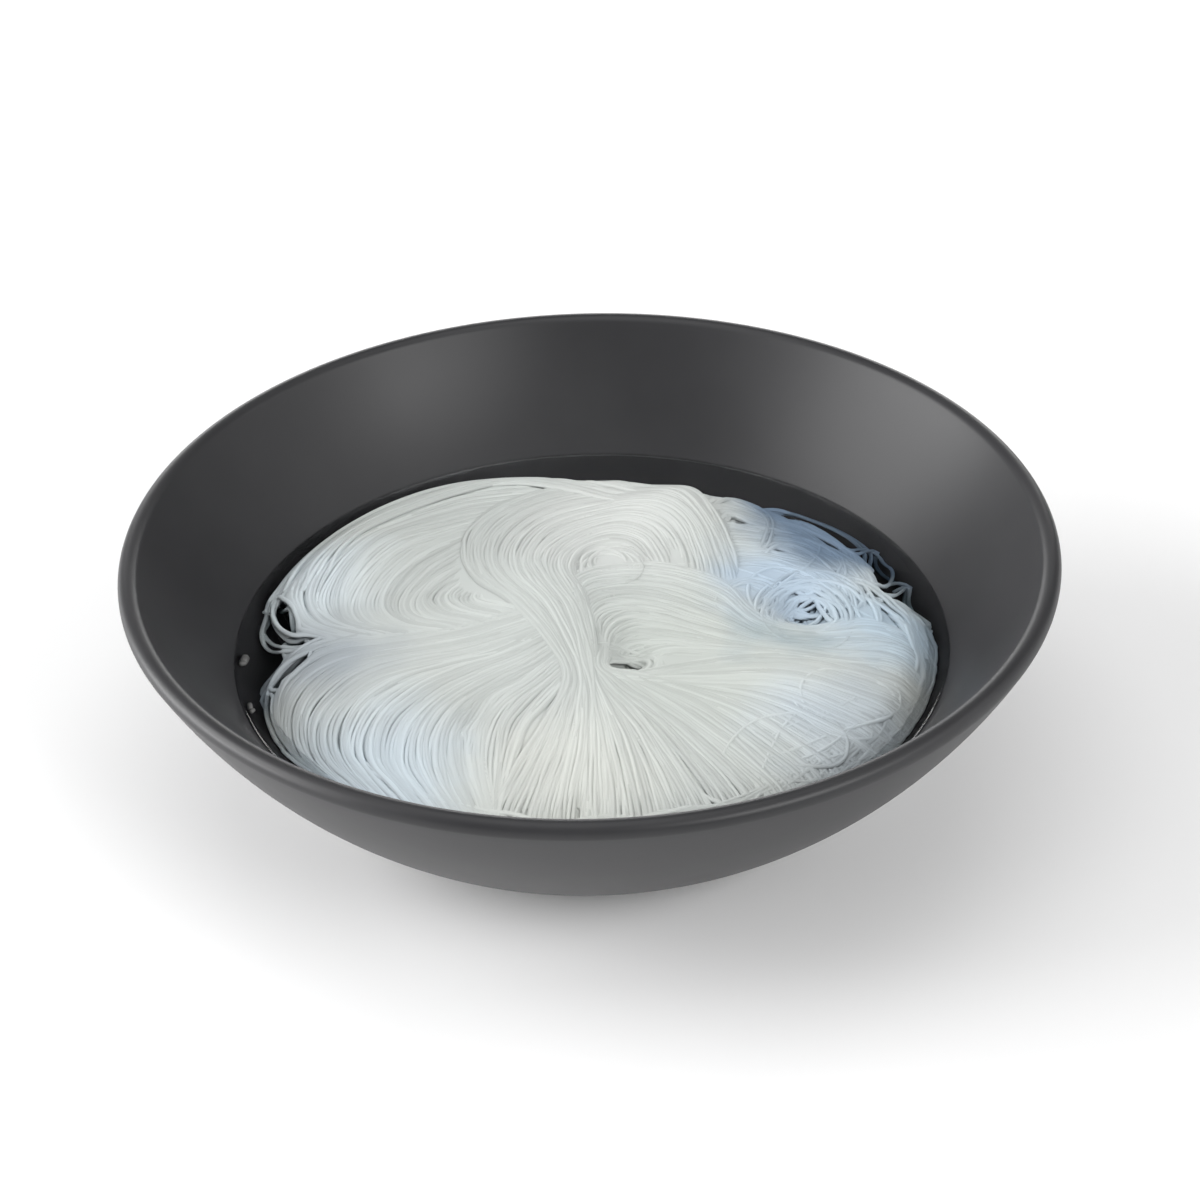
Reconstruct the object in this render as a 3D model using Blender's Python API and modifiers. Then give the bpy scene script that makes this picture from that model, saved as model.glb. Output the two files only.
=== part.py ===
"""A bowl of soaked glass noodles: a dark stoneware bowl, clear water, and a low heap of noodles.

Metres, +Z up. The origin is the centre of the bowl's foot ring, on the surface it stands on.
+X is the right-hand side and -Y is the side nearest to the viewer.
"""

import math
import random

import bmesh
import bpy
from mathutils import Vector, noise
from mathutils.bvhtree import BVHTree

# Driving dimensions of the bowl
RIM_RADIUS = 0.100
BOWL_HEIGHT = 0.058
LIP_THICKNESS = 0.0045
OUTER_CURVE = 0.120
OUTER_SLOPE = math.radians(62.5)
INNER_CURVE = 0.126
INNER_SLOPE = math.radians(60.0)
FLOOR_HEIGHT = 0.0085
FLOOR_FILLET = 0.025
FOOT_RADIUS = 0.0475
FOOT_HEIGHT = 0.0036
FOOT_WIDTH = 0.0050
FOOT_EDGE = 0.0006
FOOT_RECESS = 0.0022
TURN_STEPS = 60

# Driving dimensions of the water and of the heap's core
WATER_LEVEL = 0.0320
GAP = 0.0003
HEAP_RADIUS = 0.0735
HEAP_FOOT_RADIUS = 0.0310
HEAP_EDGE = 0.0012
HEAP_CROWN = 0.0052
WALL_CLEARANCE = 0.0045
OUTLINE_RIPPLE = 0.0012
LOCK_RELIEF = 0.0010
LOCK_WIDTH = 0.0080
CORE_STEPS = 44

# Driving dimensions of the strands
STRAND_RADIUS = 0.0007
STRAND_LIFT = 0.0004
STRAND_STRAY = 0.0008
STRAND_REACH = 0.97
STRAND_STEPS = 15
LOOP_TURN = math.radians(315)
LOOP_NARROWING = 0.25
SHORTEST_EDGE = 0.00002
SEED = 7

# Clear water that runs into the heap's outline: (direction in degrees, depth, half width in degrees)
BAYS = (
    (84, 0.0100, 24),
    (48, 0.0020, 12),
    (183, 0.0040, 8),
    (212, 0.0015, 16),
    (270, 0.0030, 26),
)

# Swells and hollows of the heap: (x, y, height, radius)
SWELLS = (
    (0.022, 0.046, 0.0050, 0.0150),
    (-0.050, 0.030, 0.0040, 0.0160),
    (-0.012, 0.004, 0.0036, 0.0180),
    (-0.044, -0.026, 0.0030, 0.0170),
    (0.002, -0.046, 0.0026, 0.0150),
    (0.040, -0.028, 0.0028, 0.0180),
    (0.045, 0.005, -0.0042, 0.0060),
    (0.060, 0.030, -0.0016, 0.0100),
    (0.009, -0.012, -0.0034, 0.0045),
    (-0.024, -0.034, -0.0016, 0.0040),
)

# Strands that sweep from one guide to the next, in mm: (count, first guide, last guide)
SWEEPS = (
    (
        6,
        ((-24, -4), (-48, 0), (-67, -12), (-66, -30), (-55, -47)),
        ((-8, -15), (-19, -23), (-27, -32), (-27, -44), (-20, -57)),
    ),
    (
        4,
        ((-4, -20), (-10, -33), (-16, -45), (-21, -57)),
        ((0, -21), (5, -33), (9, -45), (13, -60)),
    ),
    (
        5,
        ((1, -23), (10, -29), (19, -41), (23, -56)),
        ((3, -19), (26, -21), (48, -31), (60, -40)),
    ),
    (
        4,
        ((6, -16), (26, -16), (48, -20), (69, -18)),
        ((10, -4), (24, -4), (36, -9), (66, -6)),
    ),
    (
        4,
        ((6, 8), (8, 24), (8, 40), (14, 54)),
        ((26, 14), (34, 28), (32, 42), (22, 57)),
    ),
    (
        4,
        ((-24, 1), (-44, 5), (-62, 16), (-64, 32), (-52, 48)),
        ((-14, 6), (-24, 14), (-34, 24), (-38, 36), (-30, 50)),
    ),
    (
        3,
        ((-22, -8), (-12, 2), (2, 4), (12, -4)),
        ((-28, 42), (-20, 30), (-8, 30), (0, 44)),
    ),
)

# Loose rings of strand, in mm: (x, y, radius along x, radius along y)
LOOPS = (
    (45, 5, 11, 9),
    (50, 40, 10, 6),
    (63, 20, 6, 9),
)


def clear_scene():
    for found in list(bpy.data.objects):
        bpy.data.objects.remove(found)


def new_collection(name):
    collection = bpy.data.collections.new(name)
    bpy.context.scene.collection.children.link(collection)
    return collection


def new_material(name, color, roughness, transmission=0.0):
    made = bpy.data.materials.new(name)
    made.use_nodes = True
    shader = made.node_tree.nodes["Principled BSDF"]
    shader.inputs["Base Color"].default_value = (*color, 1.0)
    shader.inputs["Roughness"].default_value = roughness
    shader.inputs["Metallic"].default_value = 0.0
    shader.inputs["Transmission Weight"].default_value = transmission
    made.diffuse_color = (*color, 1.0)
    return made


def arc(center, radius, start, end, steps):
    """Points on a circle seen from the side; 0 degrees points down and 90 degrees points away from the axis."""
    points = []
    for step in range(steps + 1):
        angle = start + (end - start) * step / steps
        points.append((center[0] + radius * math.sin(angle), center[1] - radius * math.cos(angle)))
    return points


def wall_center(slope, curve, side):
    """The centre of a wall's curve that meets the round lip at this slope; side is 1 outside, -1 inside."""
    lip = LIP_THICKNESS / 2
    reach = curve - side * lip
    return (
        RIM_RADIUS - lip - reach * math.sin(slope),
        BOWL_HEIGHT - lip + reach * math.cos(slope),
    )


def inner_profile(offset):
    """The inside from the centre of the floor up to the lip, moved into the bowl by the offset."""
    center = wall_center(INNER_SLOPE, INNER_CURVE, -1)
    curve = INNER_CURVE - offset
    fillet = FLOOR_FILLET - offset
    # The fillet touches the floor and the wall's curve, so its centre is at a known height and distance.
    fillet_z = FLOOR_HEIGHT + offset + fillet
    fillet_x = center[0] + math.sqrt((curve - fillet) ** 2 - (center[1] - fillet_z) ** 2)
    meet = math.atan2(fillet_x - center[0], center[1] - fillet_z)
    points = [(0.0, FLOOR_HEIGHT + offset)]
    points += arc((fillet_x, fillet_z), fillet, 0.0, meet, 2)
    points += arc(center, curve, meet, INNER_SLOPE, 6)[1:]
    return points


def inner_radius(height):
    """The inside's radius at a height above its floor."""
    points = inner_profile(0.0)
    for low, high in zip(points, points[1:]):
        if low[1] < height <= high[1]:
            share = (height - low[1]) / (high[1] - low[1])
            return low[0] + (high[0] - low[0]) * share
    raise ValueError("the height is not between the floor and the lip")


def turned(name, profile, steps, collection, material):
    """The solid that a profile makes when it is turned about the Z axis."""
    mesh = bpy.data.meshes.new(name)
    points = [(x, 0.0, z) for x, z in profile]
    mesh.from_pydata(points, [(i, i + 1) for i in range(len(points) - 1)], [])
    made = bpy.data.objects.new(name, mesh)
    collection.objects.link(made)
    made.data.materials.append(material)
    screw = made.modifiers.new("Turn", "SCREW")
    screw.axis = "Z"
    screw.steps = steps
    screw.render_steps = steps
    screw.use_merge_vertices = True
    screw.merge_threshold = 0.00001
    screw.use_smooth_shade = True
    return made


def baked(source, name, collection):
    """The source's evaluated shape as a plain mesh object, with the source removed."""
    bpy.context.view_layer.update()
    graph = bpy.context.evaluated_depsgraph_get()
    mesh = bpy.data.meshes.new_from_object(source.evaluated_get(graph))
    made = bpy.data.objects.new(name, mesh)
    made.matrix_world = source.matrix_world
    collection.objects.link(made)
    bpy.data.objects.remove(source)
    return made


def make_bowl(collection, material):
    lip = LIP_THICKNESS / 2
    profile = inner_profile(0.0)
    lip_center = (RIM_RADIUS - lip, BOWL_HEIGHT - lip)
    profile += arc(lip_center, lip, INNER_SLOPE + math.pi, math.pi, 2)[1:]
    profile += arc(lip_center, lip, math.pi, math.pi / 2, 3)[1:]
    profile += arc(lip_center, lip, math.pi / 2, OUTER_SLOPE, 1)[1:]
    outer_center = wall_center(OUTER_SLOPE, OUTER_CURVE, 1)
    foot_meet = math.acos((outer_center[1] - FOOT_HEIGHT) / OUTER_CURVE)
    profile += arc(outer_center, OUTER_CURVE, OUTER_SLOPE, foot_meet, 7)[1:]
    inside = FOOT_RADIUS - FOOT_WIDTH
    profile += [
        (FOOT_RADIUS, FOOT_EDGE),
        (FOOT_RADIUS - FOOT_EDGE, 0.0),
        (inside + FOOT_EDGE, 0.0),
        (inside, FOOT_EDGE),
        (inside - FOOT_EDGE, FOOT_RECESS),
        (0.0, FOOT_RECESS),
    ]
    return turned("bowl", profile, TURN_STEPS, collection, material)


def heap_radius(angle):
    """How far the heap reaches in a direction, at the level of the water."""
    reach = HEAP_RADIUS
    for direction, depth, width in BAYS:
        away = math.remainder(math.degrees(angle) - direction, 360.0)
        reach -= depth * math.exp(-((away / width) ** 2))
    ripple = noise.noise(Vector((3.0 * math.cos(angle), 3.0 * math.sin(angle), SEED)))
    return reach + OUTLINE_RIPPLE * ripple


def heap_top(x, y):
    """The height of the heap's upper side."""
    share = min(1.0, math.hypot(x, y) / heap_radius(math.atan2(y, x)))
    height = WATER_LEVEL + HEAP_EDGE + HEAP_CROWN * (1.0 - share**2) ** 0.7
    for swell_x, swell_y, rise, radius in SWELLS:
        away = math.hypot(x - swell_x, y - swell_y) / radius
        height += rise * math.exp(-(away**2)) * min(1.0, 4.0 * (1.0 - share))
    locks = noise.noise(Vector((x / LOCK_WIDTH, y / LOCK_WIDTH, SEED)))
    return height + LOCK_RELIEF * locks * min(1.0, 5.0 * (1.0 - share))


def make_core(name, collection, material, grow=0.0):
    """The heap without its strands: a turned blank, one unit high, whose rings are pushed into place."""
    top_shares = (0.0, 0.14, 0.28, 0.42, 0.55, 0.67, 0.78, 0.88, 0.96, 1.0)
    side_heights = (WATER_LEVEL - HEAP_EDGE, 0.024, 0.014)
    blank = [(share, 1.0) for share in top_shares]
    blank += [(1.0, 0.5 - 0.1 * ring) for ring in range(len(side_heights))]
    blank += [(1.0, 0.0), (0.0, 0.0)]
    core = baked(turned("blank", blank, CORE_STEPS, collection, material), name, collection)
    for vertex in core.data.vertices:
        x, y, level = vertex.co
        share = math.hypot(x, y)
        angle = math.atan2(y, x)
        reach = heap_radius(angle)
        if level > 0.9:
            radius = share * reach
            height = heap_top(radius * math.cos(angle), radius * math.sin(angle)) + grow
        elif level > 0.1:
            ring = round((0.5 - level) * 10)
            height = side_heights[ring] - grow
            wall = inner_radius(side_heights[ring]) - WALL_CLEARANCE
            radius = min(reach, wall + reach - HEAP_RADIUS)
        else:
            height = FLOOR_HEIGHT + GAP - grow
            radius = HEAP_FOOT_RADIUS * share
        radius += grow
        vertex.co = (radius * math.cos(angle), radius * math.sin(angle), height)
    return core


def smooth_path(guide, count):
    """Points along a smooth curve through the guide's points."""
    ends = [2 * guide[0] - guide[1]] + guide + [2 * guide[-1] - guide[-2]]
    spans = len(guide) - 1
    path = []
    for step in range(count + 1):
        place = min(step / count * spans, spans - 1e-6)
        span = int(place)
        t = place - span
        before, start, end, after = ends[span : span + 4]
        path.append(
            0.5
            * (
                2 * start
                + (end - before) * t
                + (2 * before - 5 * start + 4 * end - after) * t**2
                + (3 * start - before - 3 * end + after) * t**3
            )
        )
    return path


def sweep_paths(draw):
    """The plan of each strand that is combed with its neighbours."""
    paths = []
    for count, first, last in SWEEPS:
        for index in range(count):
            share = (index + 0.5) / count
            guide = []
            for (x0, y0), (x1, y1) in zip(first, last):
                point = Vector((x0, y0)).lerp(Vector((x1, y1)), share) / 1000
                guide.append(point + STRAND_STRAY * Vector((draw.uniform(-1, 1), draw.uniform(-1, 1))))
            paths.append(smooth_path(guide, STRAND_STEPS))
    return paths


def loop_paths(draw):
    """The plan of each strand that lies in a loose ring, a little less than one turn long."""
    paths = []
    for x, y, radius_x, radius_y in LOOPS:
        start = draw.uniform(0, 2 * math.pi)
        path = []
        for step in range(STRAND_STEPS + 1):
            share = step / STRAND_STEPS
            angle = start + LOOP_TURN * share
            away = Vector((radius_x * math.cos(angle), radius_y * math.sin(angle)))
            path.append((Vector((x, y)) + (1.0 - LOOP_NARROWING * share) * away) / 1000)
        paths.append(path)
    return paths


def seated(path, surface, lift):
    """The path laid on the heap, with both ends dipping into it."""
    points = []
    for place in path:
        if place.length > STRAND_REACH * heap_radius(math.atan2(place.y, place.x)):
            continue
        hit = surface.ray_cast(Vector((place.x, place.y, BOWL_HEIGHT)), Vector((0, 0, -1)))[0]
        points.append(Vector((place.x, place.y, hit.z + lift)))
    for end in (0, -1):
        points[end].z -= STRAND_RADIUS
    return points


def make_strand(points, collection):
    """A tube along the points, as a closed mesh."""
    curve = bpy.data.curves.new("strand", "CURVE")
    curve.dimensions = "3D"
    curve.bevel_depth = STRAND_RADIUS
    curve.bevel_resolution = 1
    curve.use_fill_caps = True
    spline = curve.splines.new("POLY")
    spline.points.add(len(points) - 1)
    for target, point in zip(spline.points, points):
        target.co = (*point, 1.0)
    tube = bpy.data.objects.new("strand", curve)
    collection.objects.link(tube)
    made = baked(tube, "strand", collection)
    shape = bmesh.new()
    shape.from_mesh(made.data)
    bmesh.ops.remove_doubles(shape, verts=shape.verts, dist=0.000001)
    shape.to_mesh(made.data)
    shape.free()
    return made


def keep_outer_shell(mesh):
    """Removes the sealed hollows and loose scraps that joining leaves: every shell but the largest."""
    shape = bmesh.new()
    shape.from_mesh(mesh)
    left = set(shape.verts)
    shells = []
    while left:
        shell, front = set(), [left.pop()]
        while front:
            vertex = front.pop()
            shell.add(vertex)
            for edge in vertex.link_edges:
                other = edge.other_vert(vertex)
                if other in left:
                    left.remove(other)
                    front.append(other)
        shells.append(shell)
    shells.sort(key=len)
    for shell in shells[:-1]:
        bmesh.ops.delete(shape, geom=list(shell), context="VERTS")
    bmesh.ops.dissolve_degenerate(shape, dist=SHORTEST_EDGE, edges=shape.edges)
    shape.to_mesh(mesh)
    shape.free()


def joined(core, strands, name, collection):
    """One closed solid of the core and the strands that lie on it, which are then removed."""
    union = core.modifiers.new("Join", "BOOLEAN")
    union.operation = "UNION"
    union.operand_type = "COLLECTION"
    union.collection = strands
    made = baked(core, name, collection)
    for strand in list(strands.objects):
        bpy.data.objects.remove(strand)
    bpy.data.collections.remove(strands)
    keep_outer_shell(made.data)
    return made


def make_noodles(collection, material):
    draw = random.Random(SEED)
    strands = new_collection("strands")
    core = make_core("core", collection, material)
    surface = BVHTree.FromObject(core, bpy.context.evaluated_depsgraph_get())
    for index, path in enumerate(sweep_paths(draw) + loop_paths(draw)):
        lift = STRAND_LIFT * (1 + index % 2)
        make_strand(seated(path, surface, lift), strands)
    return joined(core, strands, "noodles", collection)


def make_water(collection, cutters, material):
    """Water up to its level, a gap away from the bowl, with the heap's core cut out of it."""
    profile = inner_profile(GAP)
    below = [point for point in profile if point[1] < WATER_LEVEL]
    above = profile[len(below)]
    share = (WATER_LEVEL - below[-1][1]) / (above[1] - below[-1][1])
    shore = below[-1][0] + share * (above[0] - below[-1][0])
    outline = [(0.0, WATER_LEVEL), (shore, WATER_LEVEL)] + below[::-1]
    water = turned("water", outline, TURN_STEPS, collection, material)
    cutter = make_core("core_cutter", cutters, material, grow=GAP)
    cutter.hide_render = True
    cutter.display_type = "WIRE"
    cut = water.modifiers.new("Core", "BOOLEAN")
    cut.operation = "DIFFERENCE"
    cut.object = cutter
    return water


def main():
    clear_scene()
    parts = new_collection("bowl_of_glass_noodles")
    cutters = new_collection("cutters")
    stoneware = new_material("stoneware", (0.045, 0.045, 0.047), 0.42)
    noodle = new_material("noodle", (0.80, 0.83, 0.80), 0.30)
    clear_water = new_material("water", (0.93, 0.96, 0.97), 0.03, transmission=1.0)
    make_bowl(parts, stoneware)
    make_noodles(parts, noodle)
    make_water(parts, cutters, clear_water)


main()
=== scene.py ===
"""A bowl of soaked glass noodles in clear water: the finish of the dark bowl, the water and the noodles.

Metres, +Z up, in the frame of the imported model. +X is the right-hand side and -Y is the near side.
"""

import math

import bpy
import numpy as np
from mathutils import Matrix, Vector


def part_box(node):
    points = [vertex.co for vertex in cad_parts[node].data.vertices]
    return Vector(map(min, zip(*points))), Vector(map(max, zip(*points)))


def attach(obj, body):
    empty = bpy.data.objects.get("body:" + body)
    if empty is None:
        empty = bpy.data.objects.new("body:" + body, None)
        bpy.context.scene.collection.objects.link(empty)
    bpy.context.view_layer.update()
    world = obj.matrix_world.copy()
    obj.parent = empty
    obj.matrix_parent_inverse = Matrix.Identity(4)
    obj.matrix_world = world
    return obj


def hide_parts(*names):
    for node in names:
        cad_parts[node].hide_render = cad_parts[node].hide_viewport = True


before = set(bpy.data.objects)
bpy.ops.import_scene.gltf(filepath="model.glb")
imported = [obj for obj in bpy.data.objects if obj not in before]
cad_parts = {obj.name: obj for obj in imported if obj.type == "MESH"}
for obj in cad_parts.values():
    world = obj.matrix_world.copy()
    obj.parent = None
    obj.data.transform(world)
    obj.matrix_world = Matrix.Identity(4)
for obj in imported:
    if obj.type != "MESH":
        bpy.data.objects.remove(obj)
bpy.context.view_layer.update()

MM = 0.001

# The bowl, with the same curves as its solid
BOWL_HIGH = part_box("bowl")[1]
RIM_RADIUS = BOWL_HIGH.x
BOWL_HEIGHT = BOWL_HIGH.z
LIP_THICKNESS = 4.5 * MM
OUTER_CURVE = 120 * MM
OUTER_SLOPE = math.radians(62.5)
INNER_CURVE = 126 * MM
INNER_SLOPE = math.radians(60.0)
FLOOR_HEIGHT = 8.5 * MM
FLOOR_FILLET = 25 * MM
FOOT_RADIUS = 47.5 * MM
FOOT_HEIGHT = 3.6 * MM
FOOT_WIDTH = 5 * MM
FOOT_EDGE = 0.6 * MM
FOOT_RECESS = 2.2 * MM
FILLET_STEPS = 10
WALL_STEPS = 36
LIP_STEPS = 24
BOWL_STEPS = 256

# The water, whose surface climbs the wall
WATER_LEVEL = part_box("water")[1].z
WATER_INTO_WALL = 0.3 * MM
MENISCUS_RISE = 0.35 * MM
MENISCUS_DIP = 0.012 * MM
MENISCUS_REACH = 2.0 * MM
MENISCUS_STEEPNESS = 4
MENISCUS_STEPS = 8
WATER_STEPS = 160

# The heap, with the same outline and swells as its solid
HEAP_RADIUS = 73.5 * MM
HEAP_EDGE = 1.2 * MM
HEAP_CROWN = 5.2 * MM
CROWN_POWER = 0.7
SWELL_FADE = 4
# From this share of its reach outward, the heap's upper side slopes down into the water
SHORE_START = 0.93
SHORE_SLOPE = 0.55
# Where water runs into the outline: direction in degrees, depth in mm, half width in degrees
BAYS = (
    (84, 10.0, 24),
    (48, 2.0, 12),
    (183, 4.0, 8),
    (212, 1.5, 16),
    (270, 3.0, 26),
)
# Swells and hollows of the upper side, in mm: x, y, rise, radius
SWELLS = (
    (22, 46, 5.0, 15),
    (-50, 30, 4.0, 16),
    (-12, 4, 3.6, 18),
    (-44, -26, 3.0, 17),
    (2, -46, 2.6, 15),
    (40, -28, 2.8, 18),
    (45, 5, -4.2, 6),
    (60, 30, -1.6, 10),
    (9, -12, -3.4, 4.5),
    (-24, -34, -1.6, 4),
)

# The heap's bulk below the strands: how far below the upper side it lies, and how far inside the outline
CORE_DEPTH = -0.25 * MM
CORE_INSET = 3.2 * MM
# From this share of its reach outward, the bulk bends down, by this much at its edge
CORE_EDGE_START = 0.86
CORE_EDGE_DEPTH = 1.8 * MM
# The bulk's sides below its edge, in mm: height, and how much narrower it is there
CORE_SIDES = ((24, 1), (20, 5), (14, 14), (9, 30))
CORE_SECTORS = 360
CORE_RINGS = 90
# Where the bulk ends further inside: direction in degrees, depth in mm, half width in degrees
CORE_BAYS = (
    (168, 5.0, 16),
    (205, 1.5, 14),
    (40, 8.0, 28),
    (84, 3.0, 14),
    (59, 7.0, 9),
    (-12, 3.0, 12),
)
# Where the bulk lies deeper or higher: x and y in mm, how much deeper in mm, radius in mm
CORE_DIPS = (
    (16, 36, -0.16, 24),
    (22, 2, -0.16, 18),
    (-44, 22, -0.12, 20),
    (-38, 5, 0.30, 8),
    (54, 40, 1.60, 15),
    (66, 22, 1.80, 11),
    (46, 5, 1.40, 8),
)
# Gaps between the strands, where the water below shows: x, y, half length and half width in mm, direction
GAPS = (
    (-66.5, 10.0, 8.0, 2.3, 108),
    (-63.5, -1.0, 2.2, 0.8, 10),
    (-64.5, -11.0, 6.2, 2.2, 49),
    (34.0, 37.0, 4.0, 1.6, -34),
    (52.7, 33.7, 8.4, 1.9, -52),
    (64.3, 23.0, 2.5, 1.3, -50),
    (67.6, 12.5, 2.8, 1.4, -45),
    (42.0, 27.0, 2.4, 1.1, -20),
    (47.0, 9.0, 2.4, 1.6, 0),
    (51.0, 0.0, 1.8, 1.3, 0),
    (6.8, -17.8, 4.0, 2.6, 20),
    (-28.0, -36.0, 3.0, 0.5, 85),
    (-26.0, -41.0, 2.4, 0.6, -63),
)
# The bulk is this deep in a gap, whose sides end this many times its size away from its middle
GAP_DEPTH = 6.0 * MM
GAP_REACH = 1.7
# Strands are led round a gap up to this many times its size away from its middle
PARTING_REACH = 2

# The strands
SIDES = 6
POINT_SPACING = 1.4 * MM
# A strand's end is rounded by one smaller ring: how far out it lies and how large it is, in radii
END_LENGTH = 0.5
END_SIZE = 0.55
# Strands are laid on a square grid of heights over the bowl
GRID_CELL = 0.35 * MM
GRID_REACH = 80 * MM
WALL_CLEARANCE = 0.2 * MM
# A strand sinks this share of its radius into what is below it, and at a bump up to this further share
SINK = 0.5
BEND_SINK = 0.35
# Over this length a strand evens out the bumps below it, and then once more over this share of it
SETTLE_REACH = 2.0 * MM
SECOND_SETTLE = 0.4
# Over these lengths a strand's ends dip, and its first part comes out from under its neighbours
END_REACH = 3.0 * MM
UNDER_REACH = 9.0 * MM
# A strand's thickness varies by these factors
THICKNESSES = (0.88, 1.10)
RANDOM_SEED = 11

# Plans of strands: points on a guided path, and the wavelengths in mm by which paths stray sideways
PATH_POINTS = 90
MEANDERS = (13, 22, 41)
LOOSE_MEANDER = 0.25
# Locks gather into this share of coarser ones, and both drift sideways in this many waves of this size
COARSE_LOCKS = 0.4
DRIFT_WAVES = 0.8
DRIFT_SIZE = 1.6
# Arcs differ from circles by about this share, and open or close by about this share in a full turn
ARC_UNEVENNESS = 0.10
ARC_OPENING = 0.22
# Curls start within this many mm of the middle, and turn back when they would leave their region this soon
CURL_START = 75
CURL_AHEAD = 5
CURL_RETURN = 0.35
# At each mm, a curl keeps this share of its bend and adds this share of a new one that varies this much
BEND_KEPT = 0.93
BEND_ADDED = 0.07
BEND_SPREAD = 2.6
# A curl is used when more than this share of it lies in its region
LEAST_INSIDE = 0.9

NOODLE_COLOR = (0.57, 0.60, 0.58)
# Tints of the noodles, some of them painted shade: centre in mm, where it is full and where it ends in mm,
# colour
TINTS_AND_PAINTED_SHADE = (
    ((-54, 26, 36), (6, 26), (0.69, 0.76, 0.79)),
    ((-50, -2, 36), (6, 26), (0.41, 0.45, 0.48)),
    ((-72, -8, 33), (3, 20), (0.39, 0.47, 0.54)),
    ((-40, -44, 34), (10, 34), (0.61, 0.69, 0.74)),
    ((30, -8, 38), (10, 40), (0.53, 0.56, 0.53)),
    ((2, -46, 36), (8, 30), (0.65, 0.67, 0.63)),
    ((12, 46, 42), (10, 32), (0.63, 0.65, 0.63)),
    ((50, 22, 36), (8, 26), (0.46, 0.56, 0.66)),
    # Painted shade: dark where the noodles lie low along the far right edge
    ((75, 62, 33), (31, 46), (0.16, 0.22, 0.30)),
    # Painted shade on the low noodles below the high strands at the back
    ((36, 54, 24), (13, 20), (0.12, 0.17, 0.23)),
    # Painted shade in the nest's hollow
    ((47, -2, 36), (5, 18), (0.31, 0.39, 0.43)),
    ((70, 4, 33), (7, 24), (0.47, 0.58, 0.67)),
    ((56, -30, 34), (8, 26), (0.54, 0.60, 0.64)),
    # Painted shade in the hole
    ((6, -18, 37), (2, 8), (0.26, 0.29, 0.27)),
)
TINT_UNEVENNESS = 14 * MM
# Strands differ in lightness within this range
STRAND_LIGHTNESS = (0.90, 1.08)
# How far light that spreads inside the strands evens out their shading
NOODLE_SOFTNESS = 0.6
# Painted shade: noodles that lie deeper are painted darker, from the first to the second depth in mm
PAINTED_SHADE_DEPTHS = (1.0, 4.5)
PAINTED_DEPTH_SHADE = (0.30, 0.36, 0.38)

# Colours and roughness between which the other materials vary
BOWL_COLORS = ((0.029, 0.029, 0.031), (0.035, 0.035, 0.037))
BOWL_ROUGHNESS = (0.36, 0.46)
WATER_COLORS = ((0.95, 0.97, 0.98), (0.98, 0.99, 1.0))
STARCH_COLORS = ((0.07, 0.07, 0.07), (0.17, 0.17, 0.165))
FLOOR_COLORS = ((0.925, 0.925, 0.925), (0.935, 0.935, 0.935))

# The camera and the stage
CAMERA_ELEVATION = math.radians(33.94)
CAMERA_DISTANCE = 0.800
CAMERA_AIM = Vector((0.00206, 0.0, 0.04303))
CAMERA_ROLL = math.radians(-1.472)
CAMERA_LENS = 111.71
FLOOR_SIZE = 16.0
# How far from the bowl the floor starts to glow, and where it glows fully, so that it stays pale to its end
FLOOR_GLOW = (0.6, 1.5)
WORLD_COLOR = (0.97, 0.98, 1.0)
WORLD_STRENGTH = 0.01
LIGHT_AIM = (0, 0, 0.03)
# Softboxes: name, place, size, power in watts
SOFTBOXES = (
    ("top_softbox", (0.0, 0.0, 1.3), (1.2, 1.2), 6.8),
    ("left_low_softbox", (-1.2, 0.0, 0.22), (1.2, 0.4), 17.0),
    ("left_softbox", (-1.1, 0.0, 0.75), (1.0, 0.5), 12.0),
    ("right_softbox", (1.1, 0.0, 0.75), (1.0, 0.5), 2.4),
    ("right_low_softbox", (1.2, 0.0, 0.22), (1.2, 0.4), 1.4),
    ("front_right_softbox", (0.8, -0.8, 0.75), (0.8, 0.5), 11.0),
    ("back_low_softbox", (0.0, 1.2, 0.22), (1.2, 0.4), 6.0),
)


# Shapes

def arc(center, radius, start, end, steps):
    """Points on a circle seen from the side, where 0 points down and a quarter turn points outward."""
    angles = [start + (end - start) * step / steps for step in range(steps + 1)]
    return [(center[0] + radius * math.sin(a), center[1] - radius * math.cos(a)) for a in angles]


def wall_center(slope, curve, side):
    """The centre of a wall's curve that meets the round lip at this slope; side is 1 outside, -1 inside."""
    lip = LIP_THICKNESS / 2
    reach = curve - side * lip
    return RIM_RADIUS - lip - reach * math.sin(slope), BOWL_HEIGHT - lip + reach * math.cos(slope)


def inner_profile(offset):
    """The bowl's inside from the centre of its floor to its lip, moved into the bowl by the offset."""
    center = wall_center(INNER_SLOPE, INNER_CURVE, -1)
    curve = INNER_CURVE - offset
    fillet = FLOOR_FILLET - offset
    fillet_z = FLOOR_HEIGHT + offset + fillet
    fillet_x = center[0] + math.sqrt((curve - fillet) ** 2 - (center[1] - fillet_z) ** 2)
    meet = math.atan2(fillet_x - center[0], center[1] - fillet_z)
    points = [(0.0, FLOOR_HEIGHT + offset)]
    points += arc((fillet_x, fillet_z), fillet, 0.0, meet, FILLET_STEPS)
    points += arc(center, curve, meet, INNER_SLOPE, WALL_STEPS)[1:]
    return points


def inner_radius(height):
    """The inside's radius at each height above the floor."""
    center = wall_center(INNER_SLOPE, INNER_CURVE, -1)
    return center[0] + np.sqrt(INNER_CURVE**2 - (center[1] - height) ** 2)


def add_attribute(mesh, name, values):
    """A value at each point of a mesh, for its material."""
    attribute = mesh.attributes.new(name, "FLOAT", "POINT")
    attribute.data.foreach_set("value", np.asarray(values, np.float32))


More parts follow.
